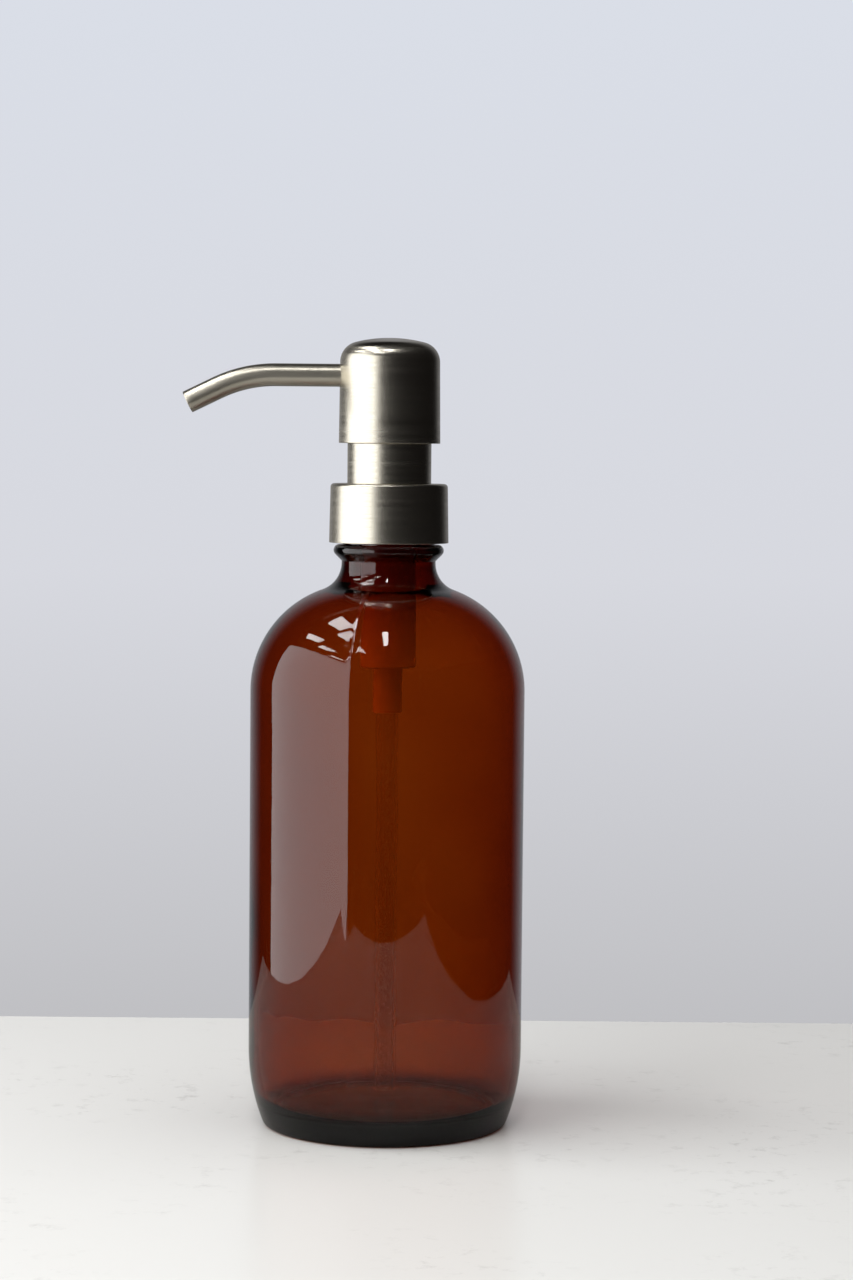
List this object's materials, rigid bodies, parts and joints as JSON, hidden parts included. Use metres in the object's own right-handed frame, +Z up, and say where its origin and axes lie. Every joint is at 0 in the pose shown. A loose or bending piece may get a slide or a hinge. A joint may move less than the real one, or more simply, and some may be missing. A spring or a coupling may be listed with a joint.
{
  "type": "soap pump dispenser",
  "caption": "Refillable soap dispenser: round-shouldered amber glass bottle with a screw-on brushed metal pump, domed press head and down-turned spout.",
  "frame": {"origin": "centre of the bottle's base, on the surface it stands on", "axes": "+Z up along the bottle's axis; the spout points along -X; +Y is away from the viewer"},
  "size_m": [0.0937, 0.075, 0.2147],
  "materials": {
    "amber_glass": "clear amber, polished",
    "brushed_metal": "satin, brushed round the axis, warm nickel tone",
    "steel": "bright drawn wire and polished ball",
    "liner_plastic": "moulded polypropylene, fine matt",
    "pump_plastic": "moulded polypropylene, satin",
    "seal_plastic": "soft polyethylene, satin",
    "clear_plastic": "translucent natural polypropylene",
    "gasket_foam": "closed-cell foam, matt"
  },
  "bodies": {
    "bottle": {"bottle": "amber_glass"},
    "pump": {"housing": "clear_plastic", "neck_gasket": "gasket_foam", "chaplet": "pump_plastic", "guide_sleeve": "brushed_metal", "dip_tube": "clear_plastic", "return_spring": "steel"},
    "collar": {"collar_liner": "liner_plastic", "collar_shell": "brushed_metal"},
    "plunger": {"stem_seat": "pump_plastic"},
    "head": {"stem": "pump_plastic", "head_core": "liner_plastic", "head_shell": "brushed_metal", "spout": "brushed_metal", "spout_liner": "liner_plastic"},
    "piston": {"piston": "seal_plastic"},
    "inlet_ball": {"inlet_ball": "steel"}
  },
  "joints": [
    {"name": "pump_rise", "type": "slide", "parent": "bottle", "child": "pump", "axis": [0, 0, 1], "range_m": [0, 0.00529]},
    {"name": "collar_unscrew", "type": "hinge", "parent": "pump", "child": "collar", "pos_m": [0, 0, 0.165], "axis": [0, 0, 1], "range_deg": [0, 450]},
    {"name": "head_press", "type": "slide", "parent": "pump", "child": "plunger", "axis": [0, 0, -1], "range_m": [0, 0.0105], "stiffness_N_per_m": 1000, "springref_m": -0.006, "deforming": ["return_spring"]},
    {"name": "head_swivel", "type": "hinge", "parent": "plunger", "child": "head", "pos_m": [0, 0, 0.162], "axis": [0, 0, 1], "continuous": true},
    {"name": "piston_float", "type": "slide", "parent": "plunger", "child": "piston", "axis": [0, 0, 1], "range_m": [0, 0.0012]},
    {"name": "inlet_ball_lift", "type": "slide", "parent": "pump", "child": "inlet_ball", "axis": [0, 0, 1], "range_m": [0, 0.002]}
  ],
  "couplings": [
    {"joint": "collar_unscrew", "follows": "pump_rise", "rad_per_m": 1484.2}
  ]
}
